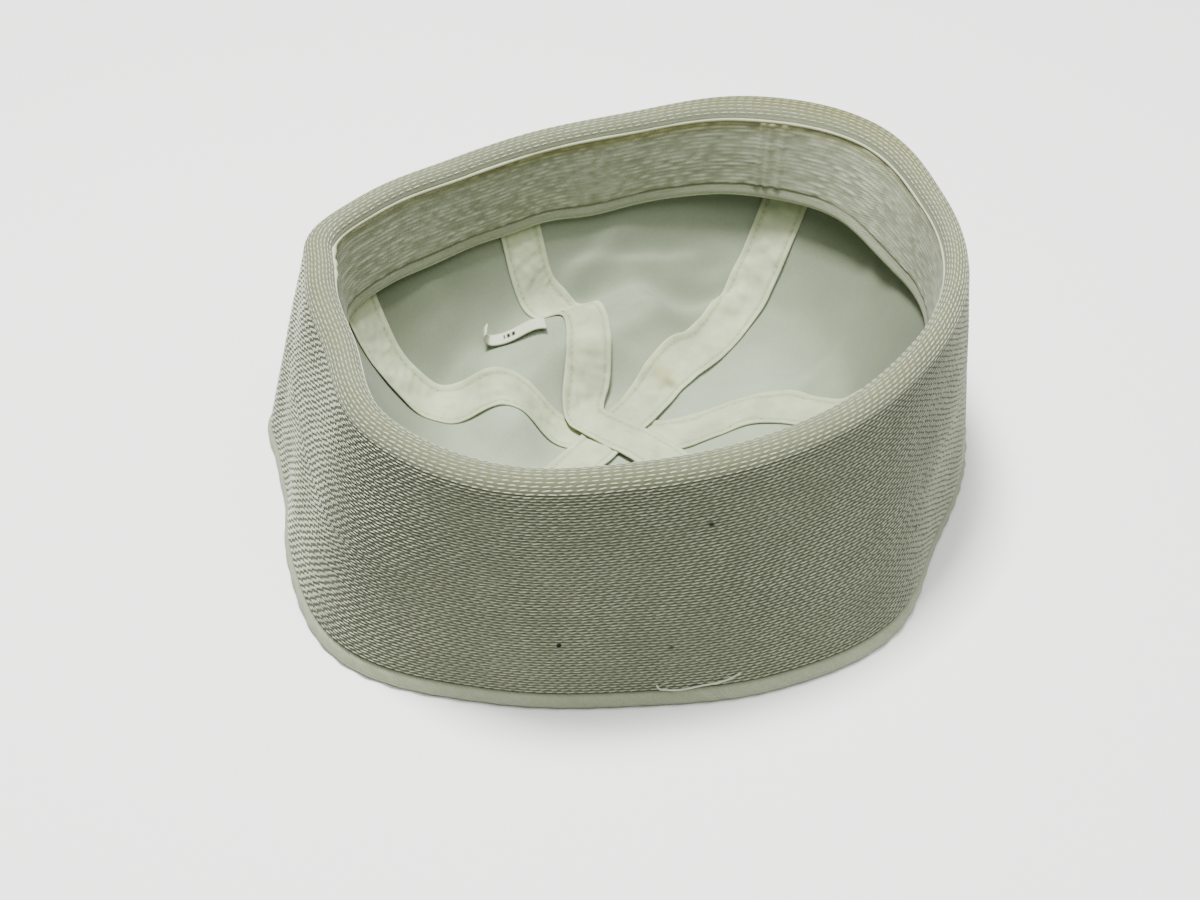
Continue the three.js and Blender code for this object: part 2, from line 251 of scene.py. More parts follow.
def crownHeight(x, y):
    angle = np.degrees(np.arctan2(y, x))
    reach = np.minimum(np.hypot(x, y) / crownRadius(angle), 1)
    profile = openTable(crownProfile[:, 0], crownProfile[:, 1], reach)
    fade = smoothStep(1 - reach, 0, foldFade)
    fromMiddle = np.hypot(x - cap["crownCentre"][0], y - cap["crownCentre"][1])
    height = profile + foldHeight(x, y, crownFolds) * fade * smoothStep(fromMiddle, *flatMiddle)
    calm = smoothStep(1 - reach, 0, calmEdge)
    height = height + foldHeight(x, y, fineFolds) * calm
    return height + sum(s["height"] * ripple(x, y, s["seed"], s["size"]) for s in swells) * calm


def crownNormal(x, y):
    d = 0.25
    slopeX = (crownHeight(x + d, y) - crownHeight(x - d, y)) / (2 * d)
    slopeY = (crownHeight(x, y + d) - crownHeight(x, y - d)) / (2 * d)
    normal = np.stack([-slopeX, -slopeY, np.ones_like(slopeX)], axis=-1)
    return normal / np.linalg.norm(normal, axis=-1, keepdims=True)


def polar(angle, radius, z):
    turn = np.radians(angle)
    return np.stack(np.broadcast_arrays(radius * np.cos(turn), radius * np.sin(turn), z), axis=-1)


def seamAngle(place, share):
    # angle of a seam, or of a place between two seams, numbered from 0 to 6
    place = np.asarray(place, float)
    columns = np.stack([openTable(seamShares, seam["angles"], share) for seam in seams])
    first = np.floor(place).astype(int)

    def at(k):
        picked = np.take_along_axis(columns, np.mod(k, len(seams))[None], axis=0)[0]
        return picked + 360 * np.floor_divide(k, len(seams))

    t = place - first
    return at(first) * (1 - t) + at(first + 1) * t


def planPoint(place, share):
    place, share = np.broadcast_arrays(np.asarray(place, float), np.asarray(share, float))
    angle = seamAngle(place, share)
    reach = crownRadius(angle)
    cx, cy = cap["crownCentre"]
    x = cx + (reach * np.cos(np.radians(angle)) - cx) * share
    y = cy + (reach * np.sin(np.radians(angle)) - cy) * share
    return x, y


# the frame's origin is under the middle of its hem ring
ringAngles = np.arange(cap["ringSteps"]) * 360 / cap["ringSteps"]
hemRing = polar(ringAngles, hemRadius(ringAngles), 0)
hemLow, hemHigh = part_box("brim_hem")
shift = np.array([
    (hemLow[k] + hemHigh[k]) / 2 / mm - (hemRing[:, k].min() + hemRing[:, k].max()) / 2 for k in (0, 1)
] + [0.0])


def distances(points, axis):
    # length along the cloth from the first row or column
    steps = np.linalg.norm(np.diff(points, axis=axis), axis=-1)
    zero = np.zeros_like(np.take(steps, [0], axis=axis))
    return np.cumsum(np.concatenate([zero, steps], axis=axis), axis=axis)


def meshObject(name, points, faces, uvs=None):
    # points in millimetres about the cap's axis; uvs has one pair for each face corner, in metres
    mesh = bpy.data.meshes.new(name)
    mesh.from_pydata(((points + shift) * mm).tolist(), [], faces)
    if uvs is not None:
        layer = mesh.uv_layers.new(name="cloth")
        layer.data.foreach_set("uv", np.asarray(uvs, float).ravel())
    mesh.polygons.foreach_set("use_smooth", [True] * len(mesh.polygons))
    # every piece is closed, so its volume tells which way its faces look
    solid = bmesh.new()
    solid.from_mesh(mesh)
    if solid.calc_volume(signed=True) < 0:
        mesh.flip_normals()
    solid.free()
    mesh.update()
    piece = bpy.data.objects.new(name, mesh)
    bpy.context.scene.collection.objects.link(piece)
    return piece


def gridFaces(rows, columns, closeRows=False, closeColumns=False, start=0):
    i = np.arange(rows if closeRows else rows - 1)[:, None]
    j = np.arange(columns if closeColumns else columns - 1)[None]
    iNext, jNext = (i + 1) % rows, (j + 1) % columns
    quads = np.stack(np.broadcast_arrays(
        i * columns + j, i * columns + jNext, iNext * columns + jNext, iNext * columns + j), axis=-1)
    return quads.reshape(-1, 4) + start


def addTints(piece, shape, tints, copies):
    # named values for each vertex, for the material
    for key, values in (tints or {}).items():
        whole = np.tile(np.broadcast_to(values, shape).ravel(), copies)
        piece.data.attributes.new(key, "FLOAT", "POINT").data.foreach_set("value", whole)
    return piece


def ringPiece(name, section, angles, tints=None):
    # section is [row, angle, 3], a closed loop of rows going up the outside; angles are the columns;
    # tints gives named values for each vertex
    rows, columns = section.shape[:2]
    meanRadius = np.hypot(section[..., 0], section[..., 1]).mean()
    around = np.radians(angles)[None] * meanRadius
    around = np.broadcast_to(around, (rows, columns))
    along = distances(section, 0)
    faces = gridFaces(rows, columns, closeRows=True, closeColumns=True)[:, ::-1]
    wide = np.concatenate([around, around[:, :1] + 2 * math.pi * meanRadius], 1)
    tall = np.concatenate([along, along[:, :1]], 1)
    wide = np.concatenate([wide, wide[:1]], 0)
    tall = np.concatenate([tall, tall[-1:] + 1], 0)
    i = np.repeat(np.arange(rows), columns)
    j = np.tile(np.arange(columns), rows)
    corners = [(i + 1, j), (i + 1, j + 1), (i, j + 1), (i, j)]
    uvs = np.stack([np.stack([wide[a, b], tall[a, b]], -1) for a, b in corners], 1) * mm
    piece = meshObject(name, section.reshape(-1, 3), faces.tolist(), uvs)
    return addTints(piece, (rows, columns), tints, 1)


def sheetPiece(name, upper, lower, tints=None):
    # a sheet of cloth from the grids of its two faces; tints gives named values for each upper vertex
    rows, columns = upper.shape[:2]
    count = rows * columns
    top = gridFaces(rows, columns)
    bottom = gridFaces(rows, columns, start=count)[:, ::-1]
    edge = np.concatenate([
        np.arange(columns), np.arange(2 * columns - 1, count, columns),
        np.arange(count - 2, count - columns - 1, -1), np.arange(count - 2 * columns, 0, -columns)])
    after = np.roll(edge, -1)
    wall = np.stack([after, edge, edge + count, after + count], -1)
    faces = np.concatenate([top, bottom, wall])
    along = distances(upper, 0)
    across = distances(upper, 1)
    across = across - across[:, columns // 2][:, None]
    along = np.broadcast_to(along[:, columns // 2][:, None], across.shape)
    flat = np.stack([across, along], -1).reshape(-1, 2)
    uvs = np.concatenate([flat, flat])[faces.ravel()] * mm
    points = np.concatenate([upper.reshape(-1, 3), lower.reshape(-1, 3)])
    piece = meshObject(name, points, faces.tolist(), uvs)
    return addTints(piece, (rows, columns), tints, 2)


def srgb(code):
    # hex colour to linear light
    parts = [int(code[k:k + 2], 16) / 255 for k in (1, 3, 5)]
    return [p / 12.92 if p <= 0.04045 else ((p + 0.055) / 1.055) ** 2.4 for p in parts] + [1.0]


def addNode(tree, kind, settings=None, **links):
    # one node with its settings; a link is a socket to join or a value to set, named by input
    node = tree.nodes.new(kind)
    for key, value in (settings or {}).items():
        setattr(node, key, value)
    for key, value in links.items():
        name = int(key[1:]) if key[0] == "i" and key[1:].isdigit() else key.replace("_", " ")
        socket = node.inputs[name]
        if isinstance(value, bpy.types.NodeSocket):
            tree.links.new(value, socket)
        else:
            socket.default_value = value
    return node


def addMath(tree, operation, *values):
    inputs = {"i" + str(k): value for k, value in enumerate(values)}
    return addNode(tree, "ShaderNodeMath", {"operation": operation}, **inputs).outputs[0]


def addTint(tree, share, colour, code):
    # the colour multiplied by another, by this share
    return addNode(tree, "ShaderNodeMix", {"data_type": "RGBA", "blend_type": "MULTIPLY"},
                   i0=share, i6=colour, i7=code).outputs[2]


def place(angle, z, out=0.0):
    # a spot on the brim's outer face, in metres
    return ((polar(angle, wallRadius(angle, z) + out, z) + shift) * mm).tolist()


def spot(x, y, z):
    return ((np.array([x, y, z], float) + shift) * mm).tolist()


def clothMaterial(name, look):
    # cotton with its weave, uneven tone, tints for soiling, painted shade and print, and marks; look is the
    # piece's own dictionary
    material = bpy.data.materials.new(name)
    material.use_nodes = True
    tree = material.node_tree
    tree.nodes.clear()
    where = addNode(tree, "ShaderNodeTexCoord").outputs["Object"]
    flat = addNode(tree, "ShaderNodeUVMap", {"uv_map": "cloth"}).outputs["UV"]
    cloudy = addNode(tree, "ShaderNodeTexNoise", Vector=where, Scale=look["cloudScale"],
                     Detail=4.0, Roughness=0.6)
    cloudShare = addNode(tree, "ShaderNodeMapRange", Value=cloudy.outputs["Fac"],
                         i1=0.35, i2=0.65, i3=0.0, i4=1.0)
    colour = addNode(tree, "ShaderNodeMix", {"data_type": "RGBA"}, i0=cloudShare.outputs[0],
                     i6=srgb(look["base"]), i7=srgb(look["second"])).outputs[2]
    grain = addNode(tree, "ShaderNodeTexNoise", Vector=where, Scale=look["grainScale"], Detail=2.0)
    speckle = addNode(tree, "ShaderNodeMapRange", Value=grain.outputs["Fac"],
                      i1=0.3, i2=0.7, i3=0.72, i4=1.12)
    colour = addTint(tree, look["grainDepth"], colour, speckle.outputs[0])
    for key, tint in look.get("tints", {}).items():
        share = addNode(tree, "ShaderNodeAttribute", {"attribute_name": key}).outputs["Fac"]
        colour = addTint(tree, share, colour, srgb(tint))
    for mark in look.get("marks", []):
        away = addNode(tree, "ShaderNodeVectorMath", {"operation": "DISTANCE"}, i0=where, i1=mark["at"])
        wobble = addNode(tree, "ShaderNodeTexNoise", Vector=where, Scale=mark["wobbleScale"],
                         Detail=3.0)
        bent = addMath(tree, "MULTIPLY_ADD", wobble.outputs["Fac"], mark["size"] * mark["wobble"],
                       away.outputs["Value"])
        share = addNode(tree, "ShaderNodeMapRange", {"interpolation_type": "SMOOTHSTEP"}, Value=bent,
                        i1=mark["size"] * mark["hard"], i2=mark["size"] * 1.3,
                        i3=mark["strength"], i4=0.0)
        colour = addTint(tree, share.outputs[0], colour, srgb(mark["colour"]))
    # threads: a sine along each way of the cloth, crossed for plain weave or slanted for twill
    split = addNode(tree, "ShaderNodeSeparateXYZ", i0=flat)
    pace = 2 * math.pi / (look["thread"] * mm)
    if look["weave"] == "twill":
        slanted = addMath(tree, "ADD", split.outputs[0], split.outputs[1])
        ribs = addMath(tree, "SINE", addMath(tree, "MULTIPLY", slanted, pace))
    else:
        waves = [addMath(tree, "SINE", addMath(tree, "MULTIPLY", split.outputs[k], pace)) for k in (0, 1)]
        ribs = addMath(tree, "MULTIPLY", *waves)
    slub = addNode(tree, "ShaderNodeTexNoise", Vector=where, Scale=look["slubScale"],
                   Detail=5.0, Roughness=0.65)
    height = addMath(tree, "MULTIPLY_ADD", slub.outputs["Fac"], look["slubDepth"],
                     addMath(tree, "MULTIPLY", ribs, look["weaveDepth"]))
    bump = addNode(tree, "ShaderNodeBump", Height=height, Strength=look["bump"],
                   Distance=look["bumpHeight"] * mm)
    shader = addNode(tree, "ShaderNodeBsdfPrincipled", Base_Color=colour, Roughness=look["roughness"],
                     Normal=bump.outputs[0])
    shader.inputs["Sheen Weight"].default_value = look["sheen"]
    shader.inputs["Sheen Roughness"].default_value = 0.5
    shader.inputs["Specular IOR Level"].default_value = 0.25
    out = addNode(tree, "ShaderNodeOutputMaterial")
    tree.links.new(shader.outputs[0], out.inputs[0])
    return material


def finishPiece(piece, material, replaces=()):
    piece.data.materials.clear()
    piece.data.materials.append(material)
    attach(piece, "root")
    if replaces:
        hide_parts(*replaces)
    return piece


def stitchTree():
    tree = bpy.data.node_groups.new("stitchRows", "GeometryNodeTree")
    face = tree.interface
    face.new_socket("Guides", in_out="INPUT", socket_type="NodeSocketGeometry")
    for name, value in (("Pitch", 0.003), ("Length", 0.0025), ("Width", 0.0006), ("Height", 0.0005),
                        ("Slant", 0.1), ("Unevenness", 0.15)):
        face.new_socket(name, in_out="INPUT", socket_type="NodeSocketFloat").default_value = value
    face.new_socket("Seed", in_out="INPUT", socket_type="NodeSocketInt").default_value = 1
    face.new_socket("Thread", in_out="INPUT", socket_type="NodeSocketMaterial")
    face.new_socket("Stitches", in_out="OUTPUT", socket_type="NodeSocketGeometry")
    given = addNode(tree, "NodeGroupInput").outputs
    lines = addNode(tree, "GeometryNodeMeshToCurve", Mesh=given["Guides"])
    points = addNode(tree, "GeometryNodeResampleCurve", {"mode": "LENGTH"},
                     Curve=lines.outputs[0], Length=given["Pitch"])
    up = addNode(tree, "GeometryNodeInputNamedAttribute", {"data_type": "FLOAT_VECTOR"}, Name="up")
    tangent = addNode(tree, "GeometryNodeInputTangent")
    upright = addNode(tree, "FunctionNodeAlignRotationToVector", {"axis": "Z"}, Vector=up.outputs[0])
    along = addNode(tree, "FunctionNodeAlignRotationToVector", {"axis": "X", "pivot_axis": "Z"},
                    Rotation=upright.outputs[0], Vector=tangent.outputs[0])
    lean = addNode(tree, "FunctionNodeRandomValue", {"data_type": "FLOAT"}, Seed=given["Seed"])
    lean.inputs[2].default_value, lean.inputs[3].default_value = -1.0, 1.0
    turn = addMath(tree, "MULTIPLY_ADD", lean.outputs[1], given["Unevenness"], given["Slant"])
    spin = addNode(tree, "FunctionNodeAxisAngleToRotation", Angle=turn)
    spin.inputs[0].default_value = (0, 0, 1)
    turned = addNode(tree, "FunctionNodeRotateRotation", {"rotation_space": "LOCAL"},
                     Rotation=along.outputs[0], Rotate_By=spin.outputs[0])
    size = addNode(tree, "ShaderNodeCombineXYZ", X=given["Length"], Y=given["Width"], Z=given["Height"])
    vary = addNode(tree, "FunctionNodeRandomValue", {"data_type": "FLOAT_VECTOR"}, Seed=given["Seed"])
    vary.inputs[0].default_value, vary.inputs[1].default_value = (0.82, 0.8, 0.75), (1.1, 1.15, 1.2)
    scale = addNode(tree, "ShaderNodeVectorMath", {"operation": "MULTIPLY"},
                    i0=size.outputs[0], i1=vary.outputs[0])
    bead = addNode(tree, "GeometryNodeMeshUVSphere", Segments=4, Rings=3, Radius=0.5)
    laid = addNode(tree, "GeometryNodeTransform", Geometry=bead.outputs[0], Rotation=(0, math.pi / 2, 0))
    placed = addNode(tree, "GeometryNodeInstanceOnPoints", Points=points.outputs[0], Instance=laid.outputs[0],
                     Rotation=turned.outputs[0], Scale=scale.outputs[0])
    solid = addNode(tree, "GeometryNodeRealizeInstances", Geometry=placed.outputs[0])
    smooth = addNode(tree, "GeometryNodeSetShadeSmooth", i0=solid.outputs[0])
    dyed = addNode(tree, "GeometryNodeSetMaterial", Geometry=smooth.outputs[0], Material=given["Thread"])
    addNode(tree, "NodeGroupOutput", Stitches=dyed.outputs[0])
    return tree


stitchRows = stitchTree()


def stitchPiece(name, lines, ups, closed, material, look):
    # lines and ups are [line, point, 3]; one thread is laid every pitch along each line
    count, points = lines.shape[:2]
    mesh = bpy.data.meshes.new(name + "Guides")
    first = (np.arange(count) * points)[:, None] + np.arange(points if closed else points - 1)[None]
    second = (np.arange(count) * points)[:, None] + (np.arange(first.shape[1])[None] + 1) % points
    edges = np.stack([first.ravel(), second.ravel()], -1)
    mesh.from_pydata(((lines.reshape(-1, 3) + shift) * mm).tolist(), edges.tolist(), [])
    mesh.attributes.new("up", "FLOAT_VECTOR", "POINT").data.foreach_set("vector", ups.reshape(-1, 3).ravel())
    guide = bpy.data.objects.new(name + "Guides", mesh)
    bpy.context.scene.collection.objects.link(guide)
    modifier = guide.modifiers.new("rows", "NODES")
    modifier.node_group = stitchRows
    values = {"Pitch": look["pitch"] * mm, "Length": look["length"] * mm, "Width": look["width"] * mm,
              "Height": look["height"] * mm, "Slant": math.radians(look["slant"]),
              "Unevenness": math.radians(look["unevenness"]), "Seed": look["seed"], "Thread": material}
    for item in stitchRows.interface.items_tree:
        if item.in_out == "INPUT" and item.name in values:
            modifier[item.identifier] = values[item.name]
    ready = guide.evaluated_get(bpy.context.evaluated_depsgraph_get())
    piece = bpy.data.objects.new(name, bpy.data.meshes.new_from_object(ready))
    piece.data.name = name
    bpy.context.scene.collection.objects.link(piece)
    bpy.data.objects.remove(guide)
    return piece


# cotton drill sewn in close rows: matt, with painted shade in the grooves between the rows, and a few dark
# specks of dirt
brimLook = {
    "columns": 400,
    "rowPitch": 0.97,         # one row of stitching to the next
    "grooveDepth": 0.24,
    "rollGroove": 0.1,
    "rollRows": 11,
    "innerRows": 8,
    "sway": 0.9,              # soft unevenness of the wall
    "yellowAngle": 52,
    "base": "#7f846c", "second": "#747962", "cloudScale": 22.0, "grainScale": 900.0, "grainDepth": 0.35,
    "weave": "plain", "thread": 0.5, "weaveDepth": 0.5, "slubScale": 1400.0, "slubDepth": 0.9,
    "bump": 0.5, "bumpHeight": 0.12, "roughness": 0.92, "sheen": 0.1,
    "tints": {"paintedShade": "#666a54", "yellowTint": "#dcd6aa"},
    "marks": table(
        "at size strength colour hard wobble wobbleScale",
        (place(281.7, 61.7, 0.3), 0.0011, 1.0, "#1e1c18", 0.8, 0.5, 900.0),
        (place(258.2, 24.5, 0.3), 0.0010, 1.0, "#1e1c18", 0.8, 0.4, 900.0),
        (place(325.1, 27.5, 0.3), 0.0010, 0.9, "#2a2720", 0.7, 0.4, 900.0),
        (place(275.4, 21.6, 0.3), 0.0011, 0.6, "#4a4538", 0.6, 0.4, 900.0)),
}

# bleached cotton thread lying on the drill: paler, with a faint shine along each stitch
threadLook = {
    "pitch": 2.9, "length": 2.5, "width": 0.37, "height": 0.36, "slant": 6.0, "unevenness": 6.0, "seed": 3,
    "drift": 0.13,            # how far the stagger of neighbouring rows strays from a half
    "lineSteps": 240, "proud": 0.06,
    "base": "#bfc5ac", "second": "#a9b097", "cloudScale": 30.0, "grainScale": 700.0, "grainDepth": 0.5,
    "weave": "plain", "thread": 0.4, "weaveDepth": 0.0, "slubScale": 2500.0, "slubDepth": 1.0,
    "bump": 0.3, "bumpHeight": 0.1, "roughness": 0.6, "sheen": 0.1, "marks": brimLook["marks"],
}

# the same thread pulled flatter over the roll
rimThreadLook = dict(threadLook, length=2.6, width=0.36, height=0.16, slant=4.0, unevenness=6.0,
                     seed=9, proud=0.0)


def brimPath(angle, wallShare, rollShare):
    # a point of the brim's outer face: up the wall, then round the rolled rim to the lip
    top, rim, span = rimHeight(angle), rimRadius(angle), rollSpan(angle)
    springing = top - cap["rollHeight"]
    foot = cap["hemHeight"] + cap["hemGap"]
    z = foot + (springing - foot) * wallShare
    sway = brimLook["sway"] * ripple(angle * 1.7, z, 5, 60) * np.sin(np.pi * np.clip(wallShare, 0, 1))
    turn = np.pi * rollShare
    radius = np.where(rollShare > 0, rim - span / 2 + span / 2 * np.cos(turn), wallRadius(angle, z) + sway)
    height = np.where(rollShare > 0, springing + cap["rollHeight"] * np.sin(turn), z)
    return polar(angle, radius, height)


def brimStops():
    # wall share, roll share, groove depth and row number down the whole outer face
    look = brimLook
    wallLength = cap["brimSlant"] - cap["hemHeight"] - cap["rollHeight"]
    wallRows = round(wallLength / look["rowPitch"])
    stops = [(k / (2 * wallRows), 0.0, look["grooveDepth"] if k % 2 == 0 else 0.0)
             for k in range(2 * wallRows + 1)]
    rows = look["rollRows"]
    end = cap["rollRowsEnd"]
    stops += [(1.0, end * k / (2 * rows), look["rollGroove"] if k % 2 == 0 else 0.0)
              for k in range(1, 2 * rows + 1)]
    stops += [(1.0, end + (1 - end) * k / 4, 0.0) for k in range(1, 5)]
    return np.array(stops), wallRows


def faceNormals(points):
    # normals of a grid [row, column, 3] whose rows go up and columns go round
    up = np.gradient(points, axis=0)
    around = (np.roll(points, -1, axis=1) - np.roll(points, 1, axis=1)) / 2
    normal = np.cross(around, up)
    return normal / np.maximum(np.linalg.norm(normal, axis=-1, keepdims=True), 1e-9)


def buildBrim():
    look = brimLook
    angles = np.arange(look["columns"]) * 360 / look["columns"]
    stops, wallRows = brimStops()
    outer = brimPath(angles[None], stops[:, 0][:, None], stops[:, 1][:, None])
    normals = faceNormals(outer)
    outer = outer - normals * stops[:, 2][:, None, None]
    # inner side: back from the lip under the roll and down the inside of the wall
    top, rim, span = rimHeight(angles), rimRadius(angles), rollSpan(angles)
    thick = cap["brimThickness"]
    inside = []
    for k in range(look["innerRows"] + 1):
        turn = math.pi * (1 - k / look["innerRows"])
        radius = rim - span / 2 + (span / 2 - thick) * math.cos(turn)
        height = top - cap["rollHeight"] + (cap["rollHeight"] - thick) * math.sin(turn)
        inside.append(polar(angles, radius, height))
    foot = cap["hemHeight"] + cap["hemGap"]
    for share in np.linspace(0.9, 0, 10):
        z = foot + (top - cap["rollHeight"] - foot) * share
        inside.append(polar(angles, wallRadius(angles, z) - thick, z))
    section = np.concatenate([outer, np.stack(inside)])
    # painted shade: darker in the grooves between the rows of stitching, less in the roll's shallower grooves
    paintedShade = np.zeros(len(section))
    paintedShade[:len(stops)] = stops[:, 2] / look["grooveDepth"]
    # handling has yellowed the rolled rim, most at the back right
    away = around180(angles, look["yellowAngle"])
    yellowTint = np.zeros((len(section), len(angles)))
    onRoll = np.sin(np.pi * np.clip(stops[:, 1] + 0.15, 0, 1))[:, None] * (stops[:, 1] > 0)[:, None]
    yellowTint[:len(stops)] = onRoll * (0.35 + 0.65 * np.exp(-((away / 26) ** 2)))[None]
    piece = ringPiece("brimCloth", section, angles, {"paintedShade": paintedShade[:, None], "yellowTint": yellowTint})
    finishPiece(piece, clothMaterial("stitchedCottonDrill", look), ["brim"])
    return piece, wallRows


def rowLines(wallShares, rollShares, look, lift):
    # guide lines on the crest of each row, each started a little further round than the last
    steps = np.arange(look["lineSteps"]) * 360 / look["lineSteps"]
    rng = np.random.default_rng(look["seed"])
    lines, ups = [], []
    start = 0.0
    for wall, roll in zip(wallShares, rollShares):
        start += (0.5 + rng.uniform(-1, 1) * look["drift"]) * look["pitch"] / cap["wallMean"] * 180 / math.pi
        angles = steps + start
        d = 0.004
        here = brimPath(angles, wall, roll)
        if roll > 0:
            above, below = brimPath(angles, wall, roll + d), brimPath(angles, wall, roll - d * 0.9)
        else:
            above, below = brimPath(angles, min(wall + d, 1.0), 0.0), brimPath(angles, wall - d, 0.0)
        around = np.roll(here, -1, axis=0) - np.roll(here, 1, axis=0)
        normal = np.cross(around, above - below)
        normal /= np.linalg.norm(normal, axis=-1, keepdims=True)
        lines.append(here + normal * lift)
        ups.append(normal)
    return np.array(lines), np.array(ups)


def buildBrimStitches(wallRows):
    look = threadLook
    thread = clothMaterial("cottonThread", look)
    shares = (np.arange(wallRows) + 0.5) / wallRows
    half = wallRows // 2
    pieces = []
    for name, picked in (("brimStitchesLower", shares[:half]), ("brimStitchesUpper", shares[half:])):
        lines, ups = rowLines(picked, 0 * picked, look, look["proud"])
        pieces.append(stitchPiece(name, lines, ups, True, thread, look))
    rows = brimLook["rollRows"]
    rolls = cap["rollRowsEnd"] * (np.arange(rows) + 0.5) / rows
    lines, ups = rowLines(1 + 0 * rolls, rolls, rimThreadLook, rimThreadLook["proud"])
    pieces.append(stitchPiece("rimStitches", lines, ups, True, thread, rimThreadLook))
    for piece in pieces:
        finishPiece(piece, thread)
    return pieces, thread


brim, wallRows = buildBrim()
stitches, thread = buildBrimStitches(wallRows)
stitchFaces = sum(len(p.data.polygons) for p in stitches)
print("brim", len(brim.data.polygons), "faces,", stitchFaces, "in its stitches")


# the drill turned over without rows: smooth and soft, with slanting twill ribs
hemLook = {
    "columns": 480, "outerRows": 12, "pucker": 0.3, "puckerPitch": 8.5,
    "base": "#939a80", "second": "#8a9077", "cloudScale": 40.0, "grainScale": 900.0, "grainDepth": 0.25,
    "weave": "twill", "thread": 1.0,      # ribs twice as coarse as the real half millimetre, to show
    "weaveDepth": 0.8, "slubScale": 1500.0, "slubDepth": 0.5,
    "bump": 0.6, "bumpHeight": 0.14, "roughness": 0.9, "sheen": 0.1,
    # painted shade: a darker tint for the top of the hem, under the brim's cloth
    "tints": {"paintedShade": "#77775f"},
}


def buildHem():
    look = hemLook
    angles = np.arange(look["columns"]) * 360 / look["columns"]
    foot, head = hemRadius(angles), wallRadius(angles, cap["hemHeight"])
    thick = cap["hemThickness"]
    rows, paintedShade = [], []
    around = np.radians(angles) * cap["hemMean"]
    for k in range(look["outerRows"] + 1):
        share = k / look["outerRows"]
        z = cap["hemHeight"] * share
        # rounded at the fold, with slanting puckers pulled by the sewing above
        bulge = 0.55 * math.sin(math.pi * min(share * 1.05, 1)) - 0.9 * (1 - min(share * 4, 1)) ** 2
        bulge -= 0.5 * max(share - 0.8, 0) / 0.2
        phase = (around + 6 * share) * 2 * math.pi / look["puckerPitch"]
        slant = np.sin(phase + 2.5 * ripple(around, 0, 21, 70))
        strength = look["pucker"] * (0.55 + 0.9 * ripple(around, 0, 22, 55)) * math.sin(math.pi * share)
        rows.append(polar(angles, foot + (head - foot) * share + bulge + slant * strength, z))
        # painted shade: the top of the hem is darkened where it meets the brim's cloth above it
        paintedShade.append(max(share - 0.88, 0) / 0.12)
    for share in (1.0, 0.5, 0.1):
        rows.append(polar(angles, foot + (head - foot) * share - thick, cap["hemHeight"] * share))
        paintedShade.append(0.0)
    rows.append(polar(angles, foot - thick + 0.8, 0 * angles))
    paintedShade.append(0.0)
    piece = ringPiece("hemStrip", np.stack(rows), angles, {"paintedShade": np.array(paintedShade)[:, None]})
    finishPiece(piece, clothMaterial("turnedCottonHem", look), ["brim_hem"])
    return piece


def tubePiece(name, line, radius, sides):
    # a closed round thread along a line of points, pinched shut at both ends
    ahead = np.gradient(line, axis=0)
    ahead /= np.linalg.norm(ahead, axis=1, keepdims=True)
    side = np.cross(ahead, [0.0, 0.0, 1.0])
    side /= np.linalg.norm(side, axis=1, keepdims=True)
    up = np.cross(side, ahead)
    size = np.full(len(line), float(radius))
    size[[0, -1]] = radius * 0.15
    turns = np.arange(sides) * 2 * math.pi / sides
    rings = line[:, None] + size[:, None, None] * (
        side[:, None] * np.cos(turns)[None, :, None] + up[:, None] * np.sin(turns)[None, :, None])
    faces = gridFaces(len(line), sides, closeColumns=True).tolist()
    faces += [list(range(sides)), list(range(len(line) * sides - 1, (len(line) - 1) * sides - 1, -1))]
    return meshObject(name, rings.reshape(-1, 3), faces)


looseThread = {
    # angle and height of the broken end of thread lying on the hem, and its thickness
    "way": [(273.2, 8.6), (273.8, 6.9), (275.5, 6.3), (278.5, 6.6), (281.5, 7.2), (284.5, 8.2),
            (286.8, 9.6)],
    "radius": 0.28, "stand": 0.35, "steps": 60, "sides": 6,
}


def buildLooseThread():
    way = np.array(looseThread["way"], float)
    share = np.linspace(0, len(way) - 1, looseThread["steps"])
    index = np.arange(len(way))
    angles = np.array([float(openTable(index, way[:, 0], s)) for s in share])
    heights = np.array([float(openTable(index, way[:, 1], s)) for s in share])
    stand = looseThread["stand"] + 0.15 * np.sin(share * 3)
    line = polar(angles, wallRadius(angles, heights) + stand, heights)
    piece = tubePiece("looseThread", line, looseThread["radius"], looseThread["sides"])
    return finishPiece(piece, thread)


buildHem()
buildLooseThread()
print("hem")


# quilted cotton: short flat pillows in rows, with painted shade between them, and yellower and darker just
# below the lip
bandLook = {
    "columns": 720, "rows": 60, "hemDepth": 3.2,
    "puckerHeight": 0.2, "puckerLength": 2.6, "puckerRow": 1.3, "edgeWave": 1.3,
    "joinAngle": 61.0, "joinRidges": (-2.4, 0.0, 1.7),      # where its two ends are sewn together
    "yellowAngle": 100,
    "base": "#b3b8a2", "second": "#a8ad97", "cloudScale": 35.0, "grainScale": 900.0, "grainDepth": 0.3,
    "weave": "plain", "thread": 0.6, "weaveDepth": 0.4, "slubScale": 700.0, "slubDepth": 1.2,
    "bump": 0.6, "bumpHeight": 0.2, "roughness": 0.92, "sheen": 0.1,
    "tints": {"paintedShade": "#92957f", "yellowTint": "#d6cf9e"},
}


def bandPuckers(around, depth, look):
    # the quilting's rows wander up and down a little
    wander = 0.4 * ripple(around, 0, 35, 30)
    return puckers(around, depth + wander, look["puckerLength"], look["puckerRow"], 32)


